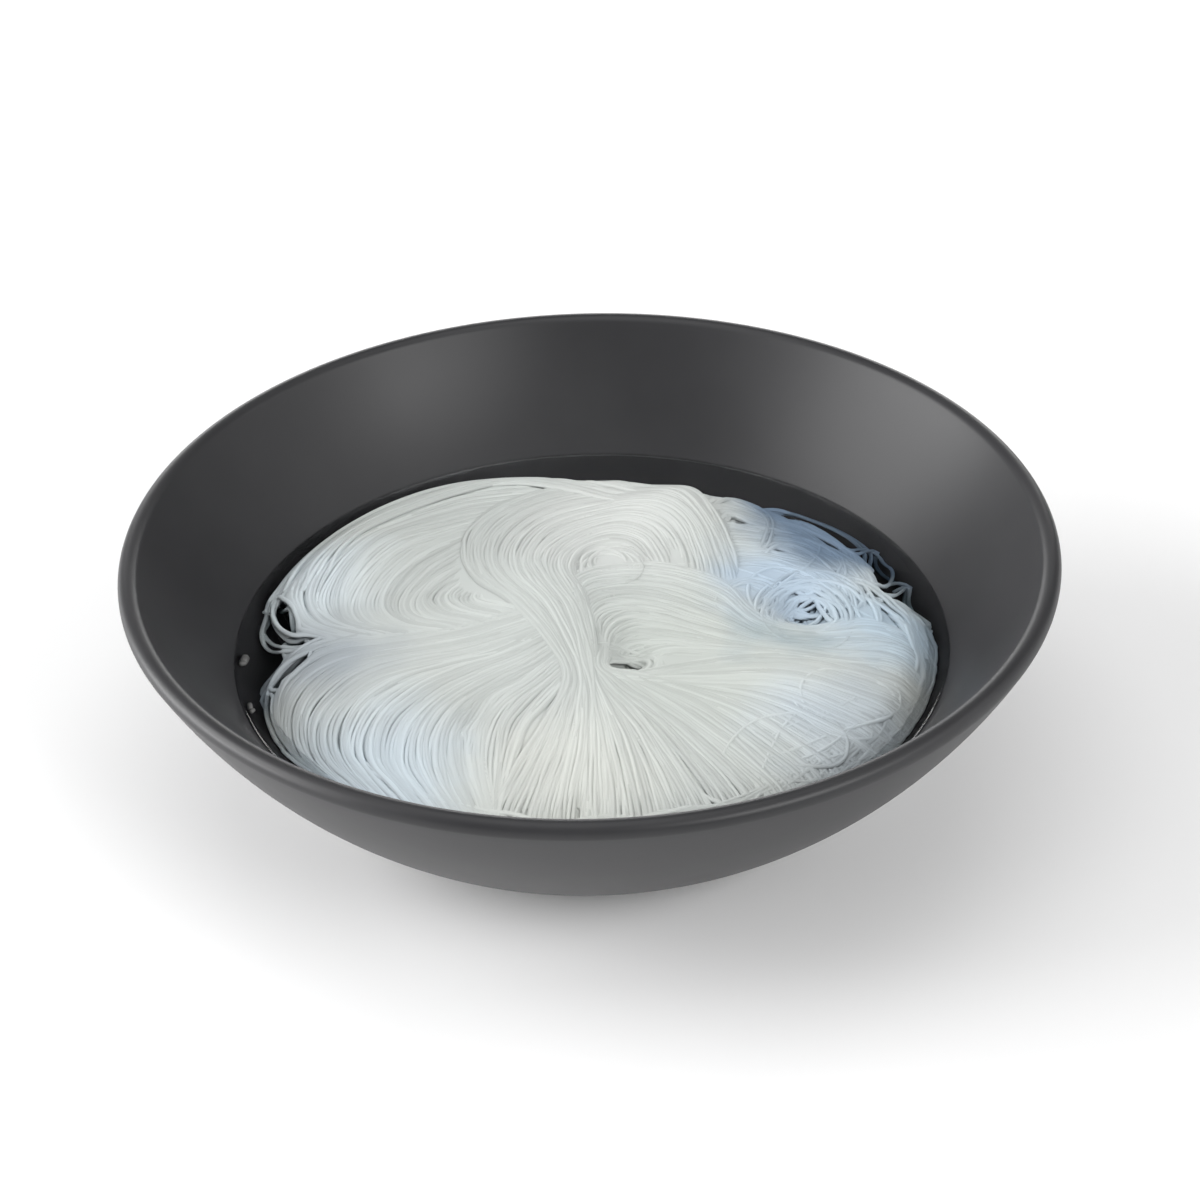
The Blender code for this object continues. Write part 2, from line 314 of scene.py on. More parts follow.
def smoothed_mesh(name, points, faces):
    """A new object from points and faces, shaded smooth."""
    mesh = bpy.data.meshes.new(name)
    mesh.from_pydata(points, [], faces)
    mesh.polygons.foreach_set("use_smooth", [True] * len(mesh.polygons))
    made = bpy.data.objects.new(name, mesh)
    bpy.context.scene.collection.objects.link(made)
    return made


def turned(name, profile, steps):
    """A profile turned about the Z axis."""
    mesh = bpy.data.meshes.new(name)
    mesh.from_pydata([(x, 0.0, z) for x, z in profile], [(i, i + 1) for i in range(len(profile) - 1)], [])
    made = bpy.data.objects.new(name, mesh)
    bpy.context.scene.collection.objects.link(made)
    screw = made.modifiers.new("Turn", "SCREW")
    screw.steps = screw.render_steps = steps
    screw.use_merge_vertices = True
    screw.merge_threshold = 0.00001
    screw.use_smooth_shade = True
    return made


def make_bowl():
    """The bowl, as one profile from the middle of its floor over the lip to the middle of its underside."""
    lip = LIP_THICKNESS / 2
    lip_center = (RIM_RADIUS - lip, BOWL_HEIGHT - lip)
    profile = inner_profile(0.0)
    profile += arc(lip_center, lip, INNER_SLOPE + math.pi, OUTER_SLOPE, LIP_STEPS)[1:]
    outer_center = wall_center(OUTER_SLOPE, OUTER_CURVE, 1)
    foot_meet = math.acos((outer_center[1] - FOOT_HEIGHT) / OUTER_CURVE)
    profile += arc(outer_center, OUTER_CURVE, OUTER_SLOPE, foot_meet, WALL_STEPS)[1:]
    inside = FOOT_RADIUS - FOOT_WIDTH
    profile += [
        (FOOT_RADIUS, FOOT_EDGE),
        (FOOT_RADIUS - FOOT_EDGE, 0.0),
        (inside + FOOT_EDGE, 0.0),
        (inside, FOOT_EDGE),
        (inside - FOOT_EDGE, FOOT_RECESS),
        (0.0, FOOT_RECESS),
    ]
    return turned("dark_bowl", profile, BOWL_STEPS)


def make_water():
    """Clear water whose surface climbs a little where it meets the wall."""
    shore = float(inner_radius(WATER_LEVEL))
    profile = [(0.0, WATER_LEVEL), (shore - 2 * MENISCUS_REACH, WATER_LEVEL)]
    for step in range(MENISCUS_STEPS + 1):
        left = 1 - step / MENISCUS_STEPS
        rise = MENISCUS_RISE * math.exp(-MENISCUS_STEEPNESS * left)
        profile.append((shore - MENISCUS_REACH * left, WATER_LEVEL + rise - MENISCUS_DIP * left))
    top = profile[-1][1]
    profile.append((float(inner_radius(top)) + WATER_INTO_WALL, top))
    below = [point for point in inner_profile(-WATER_INTO_WALL) if point[1] < WATER_LEVEL - MENISCUS_REACH]
    return turned("clear_water", profile + below[::-1], WATER_STEPS)


# The heap

def with_bays(reach, angle, bays):
    """The reach in each direction, less the bays."""
    for direction, depth, width in bays:
        away = np.remainder(np.degrees(angle) - direction + 180, 360) - 180
        reach -= depth * MM * np.exp(-((away / width) ** 2))
    return reach


def heap_radius(angle):
    """How far the heap reaches in each direction, at the level of the water."""
    return with_bays(np.full_like(angle, HEAP_RADIUS), angle, BAYS)


def heap_top(x, y):
    """The height of the heap's upper side, which dips below the water outside its outline."""
    share = np.hypot(x, y) / heap_radius(np.arctan2(y, x))
    inside = np.clip(share, 0, 1)
    height = WATER_LEVEL + HEAP_EDGE + HEAP_CROWN * (1 - inside**2) ** CROWN_POWER
    for swell_x, swell_y, rise, radius in SWELLS:
        away = np.hypot(x - swell_x * MM, y - swell_y * MM) / (radius * MM)
        height += rise * MM * np.exp(-(away**2)) * np.clip(SWELL_FADE * (1 - inside), 0, 1)
    return height - SHORE_SLOPE * np.clip(share - SHORE_START, 0, None) * HEAP_RADIUS


def depth_below_top(points):
    """How deep each point lies below the heap's upper side, in mm, which sets the painted shade."""
    return (heap_top(points[:, 0], points[:, 1]) - points[:, 2]) / MM


def core_reach(angle):
    """How far the heap's bulk reaches in each direction."""
    return with_bays(heap_radius(angle) - CORE_INSET, angle, CORE_BAYS)


def gap_shares(x, y, gap):
    """Where places in mm lie along and across a gap, as shares of its half length and half width."""
    gap_x, gap_y, length, width, direction = gap
    turn = math.radians(direction)
    away_x, away_y = x - gap_x, y - gap_y
    along = away_x * math.cos(turn) + away_y * math.sin(turn)
    across = away_y * math.cos(turn) - away_x * math.sin(turn)
    return along / length, across / width


def core_top(x, y):
    """The height of the bulk below the strands."""
    share = np.hypot(x, y) / core_reach(np.arctan2(y, x))
    edge = np.clip((share - CORE_EDGE_START) / (1 - CORE_EDGE_START), 0, None) ** 2
    depth = CORE_DEPTH + CORE_EDGE_DEPTH * edge
    for dip_x, dip_y, deeper, radius in CORE_DIPS:
        away = np.hypot(x - dip_x * MM, y - dip_y * MM) / (radius * MM)
        depth += deeper * MM * np.exp(-(away**2))
    for gap in GAPS:
        away = np.hypot(*gap_shares(x / MM, y / MM, gap))
        depth += GAP_DEPTH * np.clip(GAP_REACH - away, 0, 1)
    return heap_top(x, y) - depth


def make_core():
    """The bulk of the heap below its strands."""
    angles = np.linspace(0, 2 * math.pi, CORE_SECTORS, endpoint=False)
    reach = core_reach(angles)
    rows = []
    for ring in range(1, CORE_RINGS + 1):
        radius = reach * ring / CORE_RINGS
        x, y = radius * np.cos(angles), radius * np.sin(angles)
        rows.append(np.stack([x, y, core_top(x, y)], axis=1))
    for height, narrower in CORE_SIDES:
        radius = reach - narrower * MM
        level = np.full_like(radius, height * MM)
        rows.append(np.stack([radius * np.cos(angles), radius * np.sin(angles), level], axis=1))
    points = [(0.0, 0.0, float(core_top(np.zeros(1), np.zeros(1))[0]))]
    points += [tuple(point) for row in rows for point in row]
    points.append((0.0, 0.0, CORE_SIDES[-1][0] * MM))
    faces = []
    for i in range(CORE_SECTORS):
        j = (i + 1) % CORE_SECTORS
        faces.append((0, 1 + i, 1 + j))
        for ring in range(len(rows) - 1):
            low, high = 1 + ring * CORE_SECTORS, 1 + (ring + 1) * CORE_SECTORS
            faces.append((low + i, high + i, high + j, low + j))
        last = 1 + (len(rows) - 1) * CORE_SECTORS
        faces.append((last + i, len(points) - 1, last + j))
    core = smoothed_mesh("noodle_core", points, faces)
    # Its depth below the upper side, which the noodle material paints as shade in the gaps and at the edge
    add_attribute(core.data, "shade_depth", depth_below_top(np.array(points)))
    add_attribute(core.data, "shade", np.full(len(points), 0.5))
    return core


# Plans of strands, as arrays of (x, y) in mm

def curve_through(before, start, end, after, t):
    """A smooth curve from start to end, at t between 0 and 1."""
    return 0.5 * (
        2 * start
        + (end - before) * t
        + (2 * before - 5 * start + 4 * end - after) * t**2
        + (3 * start - before - 3 * end + after) * t**3
    )


def on_sheet(guides, across, along):
    """Points on the smooth sheet through the guides, at these shares across them and along them."""
    guides = np.asarray(guides, float)
    for axis in (0, 1):
        ends = np.moveaxis(guides, axis, 0)
        ends = np.concatenate([2 * ends[:1] - ends[1:2], ends, 2 * ends[-1:] - ends[-2:-1]])
        guides = np.moveaxis(ends, 0, axis)
    place = np.clip(along, 0, 1) * (guides.shape[1] - 3) - 1e-9
    span = np.maximum(place.astype(int), 0)
    t = (place - span)[None, :, None]
    rows = curve_through(*(guides[:, span + k] for k in range(4)), t)
    place = np.clip(across, 0, 1) * (guides.shape[0] - 3) - 1e-9
    span = np.maximum(place.astype(int), 0)
    t = (place - span)[:, None]
    at = np.arange(len(place))
    return curve_through(*(rows[span + k, at] for k in range(4)), t)


def evenly_spaced(path, spacing):
    """The path with its points moved to one spacing."""
    steps = np.hypot(*np.diff(path, axis=0).T)
    length = np.concatenate([[0], np.cumsum(steps)])
    count = max(4, int(length[-1] / spacing) + 1)
    targets = np.linspace(0, length[-1], count)
    return np.stack([np.interp(targets, length, path[:, axis]) for axis in (0, 1)], axis=1)


def sideways(path):
    """The sideways direction at each point of a path."""
    along = np.gradient(path, axis=0)
    along /= np.linalg.norm(along, axis=1, keepdims=True) + 1e-12
    return np.stack([-along[:, 1], along[:, 0]], axis=1)


def meander(path, draw, size):
    """A path whose points, 1 mm apart, stray sideways in slow waves."""
    place = np.arange(len(path)) * 1.0
    shift = np.zeros(len(path))
    for wavelength in MEANDERS:
        wave = np.sin(2 * math.pi * place / wavelength + draw.uniform(0, 2 * math.pi))
        shift += size * draw.uniform(0.2, 1.0) * wave * wavelength / MEANDERS[-1]
    return path + shift[:, None] * sideways(path)


def flow(draw, count, guides, start=(0.0, 0.05), end=(0.95, 1.0), locks=10, gather=0.4, stray=0.35):
    """Strands that run side by side from the first guide to the last, gathered in locks."""
    paths = []
    phases = draw.uniform(0, 2 * math.pi, 4)
    fine, coarse = 2 * math.pi * locks, 2 * math.pi * (COARSE_LOCKS * locks)
    for index in draw.permutation(count):
        along = np.linspace(draw.uniform(*start), draw.uniform(*end), PATH_POINTS)
        across = np.full_like(along, (index + draw.uniform(0.2, 0.8)) / count)
        drift = DRIFT_SIZE * np.sin(2 * math.pi * DRIFT_WAVES * along + phases[0]) + phases[1]
        across += gather / fine * np.sin(fine * across + drift)
        across += 0.5 * gather / coarse * np.sin(coarse * across + phases[2] - drift)
        path = evenly_spaced(on_sheet(guides, across, along), 1.0)
        paths.append(meander(path, draw, stray))
    return paths


def curls(draw, count, inside, length, tightness):
    """Strands that wander in loose curls; inside says where a point may lie."""
    paths = []
    while len(paths) < count:
        place = draw.uniform(-CURL_START, CURL_START, 2)
        if not inside(*place):
            continue
        heading = draw.uniform(0, 2 * math.pi)
        bend = draw.normal(0, 1) * tightness
        path = [place]
        for _ in range(int(draw.uniform(0.6, 1.2) * length)):
            bend = BEND_KEPT * bend + BEND_ADDED * draw.normal(0, BEND_SPREAD) * tightness
            ahead = place + CURL_AHEAD * np.array([math.cos(heading), math.sin(heading)])
            if not inside(*ahead):
                bend += CURL_RETURN * tightness * (1 if bend >= 0 else -1)
            heading += bend
            place = place + np.array([math.cos(heading), math.sin(heading)])
            path.append(place)
        path = np.array(path)
        keep = np.array([inside(*point) for point in path])
        if keep.mean() > LEAST_INSIDE:
            paths.append(path if keep.all() else path[: max(10, int(np.argmin(keep)))])
    return paths


def arcs(draw, count, center, radii, turns, stretch=1.0, jitter=1.0):
    """Strands that bend round a centre; turns says how far round, stretch how much longer they are in y."""
    paths = []
    for _ in range(count):
        radius = draw.uniform(*radii)
        turn = draw.uniform(*turns) * 2 * math.pi
        start = draw.uniform(0, 2 * math.pi)
        angle = np.linspace(start, start + turn, max(10, int(radius * stretch * turn)))
        size = radius * (1 + ARC_UNEVENNESS * draw.normal() * np.cos(2 * angle + draw.uniform(0, 6)))
        size *= 1 + ARC_OPENING * draw.normal() * (angle - start) / (2 * math.pi)
        middle = np.asarray(center) + draw.normal(0, jitter, 2)
        path = middle + np.stack([size * np.cos(angle), stretch * size * np.sin(angle)], axis=1)
        paths.append(evenly_spaced(path, 1.0))
    return paths


def parted(path):
    """The path led round the gaps."""
    for gap in GAPS:
        gap_x, gap_y, length, width, direction = gap
        along, across = gap_shares(path[:, 0], path[:, 1], gap)
        away = np.maximum(np.hypot(along, across), 0.01)
        moved = np.where(away < PARTING_REACH, (1 + (away / PARTING_REACH) ** 2) / away, 1.0)
        along, across = along * moved * length, across * moved * width
        turn = math.radians(direction)
        path = np.column_stack([
            gap_x + along * math.cos(turn) - across * math.sin(turn),
            gap_y + along * math.sin(turn) + across * math.cos(turn),
        ])
    return path


# Laying the strands down

class Pile:
    """The height of what has been laid so far, on a square grid over the bowl."""

    def __init__(self):
        self.cells = int(2 * GRID_REACH / GRID_CELL) + 1
        line = (np.arange(self.cells) - self.cells // 2) * GRID_CELL
        x, y = np.meshgrid(line, line, indexing="ij")
        self.height = core_top(x, y)

    def index(self, places):
        cells = np.rint(places / GRID_CELL).astype(int) + self.cells // 2
        return np.clip(cells, 0, self.cells - 1).T

    def lay(self, path, radius, lowest, highest, dip, under):
        """Lays a strand over what is below it, and returns its centre line. All in metres.

        It stays between lowest and highest, which are measured from the heap's upper side. Its ends go
        down by the dip, and its first part comes out from this far under its neighbours.
        """
        fine = evenly_spaced(path, GRID_CELL)
        side = sideways(fine)
        resting = np.full(len(fine), -1.0)
        for share in (-0.8, -0.4, 0.0, 0.4, 0.8):
            i, j = self.index(fine + share * radius * side)
            resting = np.maximum(resting, self.height[i, j] + radius * math.sqrt(1 - share**2))
        top = heap_top(fine[:, 0], fine[:, 1])
        resting = np.clip(resting - SINK * radius, top + lowest, top + highest)
        height = softened(resting, SETTLE_REACH)
        height = softened(np.maximum(height, resting - BEND_SINK * radius), SECOND_SETTLE * SETTLE_REACH)
        place = np.arange(len(fine)) * GRID_CELL
        ends = np.exp(-((place / END_REACH) ** 2)) + np.exp(-(((place[-1] - place) / END_REACH) ** 2))
        height -= dip * ends + under * np.exp(-((place / UNDER_REACH) ** 2))
        for share in np.linspace(-1, 1, 7):
            i, j = self.index(fine + share * radius * side)
            np.maximum.at(self.height, (i, j), height + radius * math.sqrt(max(0.0, 1 - share**2)))
        return np.column_stack([fine, height])


def softened(values, reach):
    """Values along a fine line, averaged over this reach."""
    spread = max(1, int(reach / GRID_CELL))
    weights = np.exp(-0.5 * (np.arange(-2 * spread, 2 * spread + 1) / spread) ** 2)
    padded = np.pad(values, 2 * spread, mode="edge")
    return np.convolve(padded, weights / weights.sum(), mode="valid")


def inside_bowl(line, radius):
    """The centre line with its points drawn in from the wall."""
    reach = inner_radius(np.maximum(line[:, 2], FLOOR_HEIGHT + 2 * MM)) - radius - WALL_CLEARANCE
    away = np.hypot(line[:, 0], line[:, 1])
    scale = np.minimum(1.0, reach / np.maximum(away, 1e-9))
    return np.column_stack([line[:, 0] * scale, line[:, 1] * scale, line[:, 2]])


def tube(line, radius):
    """Points and side faces of a strand with rounded ends."""
    step = max(1, int(round(POINT_SPACING / GRID_CELL)))
    line = np.vstack([line[:-1:step], line[-1]])
    along = np.gradient(line, axis=0)
    along /= np.linalg.norm(along, axis=1, keepdims=True) + 1e-12
    side = np.cross(along, (0.0, 0.0, 1.0))
    side /= np.linalg.norm(side, axis=1, keepdims=True) + 1e-12
    up = np.cross(side, along)
    tip = END_LENGTH * radius * along
    line = np.vstack([line[0] - tip[0], line, line[-1] + tip[-1]])
    side = np.vstack([side[0], side, side[-1]])
    up = np.vstack([up[0], up, up[-1]])
    size = np.full(len(line), radius)
    size[[0, -1]] = END_SIZE * radius
    angles = np.linspace(0, 2 * math.pi, SIDES, endpoint=False)
    ring = np.cos(angles)[None, :, None] * side[:, None, :] + np.sin(angles)[None, :, None] * up[:, None, :]
    points = (line[:, None, :] + size[:, None, None] * ring).reshape(-1, 3)
    rows = np.arange(len(line) - 1)[:, None] * SIDES
    first = rows + np.arange(SIDES)[None, :]
    beside = rows + (np.arange(SIDES)[None, :] + 1) % SIDES
    quads = np.stack([first, beside, beside + SIDES, first + SIDES], axis=-1).reshape(-1, 4)
    return points, quads


def strands_piece(name, strands):
    """One mesh of many strands; each strand's own random shade is kept as an attribute."""
    points, quads, caps, shades, offset = [], [], [], [], 0
    for line, radius, shade in strands:
        tube_points, tube_quads = tube(line, radius)
        points.append(tube_points)
        quads.append(tube_quads + offset)
        caps.append(offset + np.arange(SIDES)[::-1])
        caps.append(offset + len(tube_points) - SIDES + np.arange(SIDES))
        shades.append(np.full(len(tube_points), shade))
        offset += len(tube_points)
    points, quads, caps = np.vstack(points), np.vstack(quads), np.array(caps)
    mesh = bpy.data.meshes.new(name)
    mesh.vertices.add(len(points))
    mesh.vertices.foreach_set("co", points.astype(np.float32).ravel())
    loops = np.concatenate([quads.ravel(), caps.ravel()])
    mesh.loops.add(len(loops))
    mesh.loops.foreach_set("vertex_index", loops.astype(np.int32))
    sizes = np.concatenate([np.full(len(quads), 4), np.full(len(caps), SIDES)])
    mesh.polygons.add(len(sizes))
    mesh.polygons.foreach_set("loop_start", np.concatenate([[0], np.cumsum(sizes)[:-1]]).astype(np.int32))
    mesh.update(calc_edges=True)
    mesh.validate()
    mesh.polygons.foreach_set("use_smooth", np.ones(len(mesh.polygons), bool))
    add_attribute(mesh, "shade", np.concatenate(shades))
    # Its depth below the upper side, which the noodle material paints as shade
    add_attribute(mesh, "shade_depth", depth_below_top(points))
    made = bpy.data.objects.new(name, mesh)
    bpy.context.scene.collection.objects.link(made)
    return made


# The flows of strands: guides in mm that follow one another across the flow

SWEEP = (
    ((2, 5), (-14, 0), (-28, -3), (-44, -4), (-59, -3), (-66, -10), (-68, -22),
     (-64, -34), (-55, -46), (-44, -56)),
    ((1, 3), (-12, -4), (-25, -8), (-40, -11), (-54, -14), (-62, -22), (-63, -33),
     (-57, -44), (-47, -54), (-36, -62)),
    ((0, 1), (-10, -7), (-21, -13), (-33, -17), (-45, -23), (-53, -31), (-54, -41),
     (-48, -51), (-40, -60), (-29, -68)),
    ((0, -1), (-9, -9), (-17, -15), (-26, -20), (-35, -28), (-42, -37), (-43, -46),
     (-39, -54), (-33, -62), (-25, -70)),
    ((0, -3), (-7, -11), (-13, -17), (-20, -22), (-28, -29), (-33, -38), (-34, -47),
     (-32, -55), (-28, -63), (-23, -71)),
    ((0, -5), (-6, -12), (-11, -18), (-16, -23), (-23, -29), (-27, -37), (-28, -45),
     (-27, -53), (-24, -62), (-21, -71)),
    ((0, -7), (-4, -14), (-8, -19), (-12, -24), (-17, -29), (-21, -36), (-22, -44),
     (-22, -52), (-21, -61), (-20, -72)),
    ((1, -9), (-2, -16), (-4, -22), (-7, -27), (-10, -33), (-13, -39), (-15, -46),
     (-17, -54), (-19, -62), (-21, -72)),
)
CROWN = (
    ((33, 2), (33, 18), (30, 34), (23, 48), (11, 57), (-2, 59), (-14, 54), (-24, 44), (-28, 31), (-26, 16),
     (-18, 3), (-10, -10), (-6, -22), (-9, -34), (-14, -46), (-20, -58), (-26, -70)),
    ((28, 1), (29, 17), (26, 32), (20, 43), (10, 50), (-1, 52), (-11, 47), (-19, 38), (-22, 27), (-20, 14),
     (-13, 1), (-7, -11), (-4, -22), (-6, -35), (-9, -47), (-13, -59), (-17, -72)),
    ((22, 3), (24, 17), (22, 31), (17, 39), (9, 44), (0, 44), (-8, 40), (-13, 32), (-15, 22), (-13, 11),
     (-8, 0), (-4, -12), (-2, -23), (-2, -36), (-3, -48), (-5, -60), (-7, -74)),
    ((17, 6), (18, 18), (16, 27), (13, 33), (7, 37), (1, 36), (-4, 32), (-8, 26), (-9, 18), (-7, 9),
     (-3, -1), (-1, -12), (0, -23), (1, -36), (2, -48), (3, -60), (3, -74)),
    ((12, 9), (13, 18), (11, 24), (8, 28), (4, 29), (0, 27), (-2, 24), (-3, 19), (-3, 13), (-1, 6),
     (0, -3), (1, -12), (1, -23), (4, -35), (8, -47), (11, -59), (14, -73)),
)
LOWER_RIGHT = (
    ((1, -10), (0, -19), (2, -28), (5, -37), (8, -47), (11, -58), (14, -73)),
    ((2, -9), (2, -18), (6, -26), (13, -35), (21, -45), (29, -56), (36, -67)),
    ((3, -9), (4, -17), (12, -25), (22, -33), (32, -43), (42, -53), (51, -60)),
    ((3, -9), (5, -18), (16, -25), (30, -32), (43, -40), (54, -46), (63, -48)),
    ((2, -10), (5, -20), (19, -26), (37, -30), (52, -35), (63, -38), (71, -34)),
)
RIGHT = (
    ((0, -16), (5, -23), (20, -27), (38, -30), (52, -35), (61, -40), (65, -46)),
    ((1, -15), (7, -23), (22, -23), (40, -24), (55, -27), (66, -31), (70, -40)),
    ((2, -14), (8, -21), (24, -17), (40, -16), (56, -17), (68, -21), (73, -31)),
)
CENTRE_RIGHT = (
    ((13, -16), (13, -15), (14, -15), (19, -15), (27, -16), (38, -17), (50, -18), (63, -18), (73, -26)),
    ((5, -14), (6, -10), (10, -8), (16, -9), (25, -12), (37, -15), (50, -17), (63, -16), (73, -22)),
    ((1, -11), (1, -1), (7, 4), (16, 3), (26, -3), (37, -10), (50, -12), (63, -10), (73, -15)),
    ((-1, -9), (-2, 6), (6, 12), (17, 12), (28, 5), (36, -5), (48, -8), (60, -5), (72, -8)),
    ((-2, -7), (-4, 13), (5, 20), (18, 20), (30, 13), (36, 2), (45, -4), (56, 0), (68, 0)),
)
RIGHT_BACK = (
    ((26, 14), (32, 18), (39, 19), (45, 17), (51, 13), (55, 8), (57, 2)),
    ((26, 22), (32, 25), (38, 26), (44, 25), (50, 22), (55, 16), (58, 8)),
    ((26, 31), (33, 33), (40, 33), (47, 32), (53, 28), (59, 21), (63, 12)),
    ((27, 39), (35, 40), (41, 39), (47, 36), (53, 30), (58, 23), (62, 13)),
    ((28, 47), (35, 46), (42, 44), (48, 40), (54, 34), (59, 26), (63, 15)),
)
LEFT_BACK = (
    ((6, 60), (-14, 66), (-34, 62), (-52, 49), (-64, 34), (-69, 18), (-66, 6), (-58, -1), (-48, -5)),
    ((0, 58), (-15, 57), (-32, 53), (-47, 41), (-58, 27), (-62, 15), (-59, 5), (-51, -1), (-42, -6)),
    ((-14, 50), (-22, 46), (-31, 40), (-42, 31), (-51, 18), (-53, 9), (-50, 2), (-41, -2), (-33, -7)),
    ((-20, 42), (-25, 37), (-31, 31), (-38, 23), (-44, 13), (-45, 6), (-41, 0), (-33, -4), (-25, -8)),
    ((-23, 32), (-26, 28), (-29, 23), (-34, 17), (-38, 10), (-38, 5), (-35, 1), (-28, -3), (-21, -7)),
    ((-22, 21), (-24, 19), (-26, 16), (-28, 13), (-31, 9), (-31, 6), (-28, 2), (-22, -2), (-15, -6)),
    ((-16, 11), (-18, 10), (-20, 9), (-21, 8), (-22, 7), (-22, 5), (-20, 3), (-15, 0), (-10, -4)),
)
# Strands that lie along the heap's edge on the right
RIGHT_EDGE = (
    ((70, 10), (74, 0), (75, -10), (73, -22), (67, -34), (57, -47), (44, -59), (30, -67)),
    ((64, 6), (68, -2), (70, -12), (68, -22), (62, -33), (53, -45), (41, -56), (29, -63)),
)

# Strands that lie along the heap's near edge, over the ends of the others
NEAR_EDGE = (
    ((61, -38), (55, -47), (45, -57), (29, -66), (10, -71), (-12, -71), (-32, -65), (-46, -55), (-56, -45)),
    ((56, -34), (50, -43), (41, -52), (27, -61), (9, -66), (-10, -66), (-29, -60), (-42, -51), (-52, -40)),
)

# Places that strands bend round, in mm
NEST = (47, 2)
SMALL_NEST = (34, 8)
HOLE = (6.5, -18)
CROWN_EYE = (5, 19)

# Floating bits of starch: x and y, length and radius in mm, direction
BIT_POINTS = 12
BIT_LIFT = 0.1 * MM
BIT_SHADE = 0.2
BITS = (
    ((-74.9, -3.4), 1.6, 1.0, 80),
    ((-75.2, -4.8), 1.0, 0.7, 20),
    ((-72.6, -20.8), 1.6, 0.6, 100),
    ((-72.0, -22.4), 0.9, 0.5, 60),
)

# Loose loops at the heap's edge on the right and on the left, in mm
RIGHT_LOOPS = (
    ((26, 43), (32, 49), (38, 47), (41, 41), (40, 33), (37, 25)),
    ((36, 45), (44, 51), (52, 49), (58, 43), (62, 35), (61, 27)),
    ((39, 40), (46, 39), (53, 35), (59, 29), (64, 22)),
    ((34, 34), (40, 34), (47, 33), (54, 28), (60, 21)),
    ((38, 22), (42, 28), (46, 29), (51, 25), (55, 17)),
    ((55, 22), (58, 29), (63, 34), (68, 31), (69, 24), (66, 16), (60, 14)),
    ((64, 18), (68, 21), (72, 17), (73, 8), (70, -2)),
    ((60, 9), (66, 10), (71, 7), (74, 0), (74, -9), (71, -19)),
    ((72, 4), (75, -5), (75, -14), (72, -24), (66, -33), (58, -43)),
    ((52, 16), (60, 15), (66, 9), (70, 0), (71, -11)),
    ((54, 10), (61, 8), (66, 3), (70, -6), (70, -17)),
    ((66, -2), (72, -8), (73, -18), (69, -29), (62, -39), (53, -49)),
)
LEFT_LOOPS = (
    ((-60, 17), (-66, 19), (-70, 16), (-71, 10), (-69, 4), (-65, 0), (-58, -2)),
    ((-60, 23), (-67, 22), (-71, 17), (-72, 9), (-70, 2), (-64, -3), (-56, -4)),
    ((-60, 30), (-66, 27), (-69, 22), (-68, 17), (-63, 15)),
    ((-36, 1), (-48, 0), (-58, -2), (-66, -7), (-70, -14), (-70, -22), (-67, -32), (-60, -42)),
    ((-34, -1), (-48, -1), (-59, -4), (-67, -9), (-70, -18), (-68, -29), (-62, -40), (-53, -50)),
    ((-56, -1), (-63, -3), (-69, -9), (-72, -18), (-70, -29), (-64, -40)),
)
# Strands that lie higher, along the heap's far left edge
FAR_LEFT_LOOPS = (
    ((22, 44), (8, 58), (-6, 64), (-20, 66.5), (-36, 60), (-50, 51), (-61, 38), (-67, 26), (-70, 16)),
    ((18, 42), (6, 54), (-6, 61), (-20, 63), (-34, 58), (-47, 49), (-58, 37), (-64, 26), (-67, 16)),
    ((14, 40), (4, 50), (-6, 57), (-19, 60), (-32, 55), (-44, 47), (-54, 36), (-60, 26), (-62, 18)),
)


def heap_share(x, y):
    """How far out a place lies, as a share of the heap's reach in that direction."""
    return math.hypot(x, y) * MM / float(heap_radius(np.array([math.atan2(y, x)]))[0])


def in_upper_right(x, y):
    return 0.34 < heap_share(x, y) < 0.86 and -8 < math.degrees(math.atan2(y, x)) < 62


def in_lower_right(x, y):
    return 0.70 < heap_share(x, y) < 0.96 and -72 < math.degrees(math.atan2(y, x)) < -14


def in_open_water(x, y):
    """The far right edge, where only loose loops lie over the water."""
    return heap_share(x, y) > 0.82 and 2 < math.degrees(math.atan2(y, x)) < 70


def in_outer_ring(x, y):
    return 0.70 < heap_share(x, y) < 0.97 and not in_open_water(x, y)


def loops(draw, guides, copies, spread):
    """A few strands along each loop."""
    paths = []
    for guide in guides:
        for _ in range(copies):
            moved = np.asarray(guide, float) + draw.normal(0, spread, 2)
            moved = moved.mean(axis=0) + (moved - moved.mean(axis=0)) * (1 + 0.04 * draw.normal())
            along = np.linspace(draw.uniform(0, 0.05), draw.uniform(0.95, 1), PATH_POINTS)
            path = evenly_spaced(on_sheet((moved, moved), np.zeros(PATH_POINTS), along), 1.0)
            paths.append(meander(path, draw, LOOSE_MEANDER))
    return paths


def make_bits():
    """Bits of starch that float where the water meets the wall."""
    strands = []
    for (x, y), length, radius, direction in BITS:
        turn = math.radians(direction)
        heading = np.array([[math.cos(turn), math.sin(turn)]])
        along = np.linspace(-0.5, 0.5, BIT_POINTS)[:, None] * length * heading
        plan = (np.array([[x, y]]) + along) * MM
        line = np.column_stack([plan, np.full(BIT_POINTS, WATER_LEVEL + BIT_LIFT)])
        strands.append((line, radius * MM, BIT_SHADE))
    return strands_piece("starch_bits", strands)


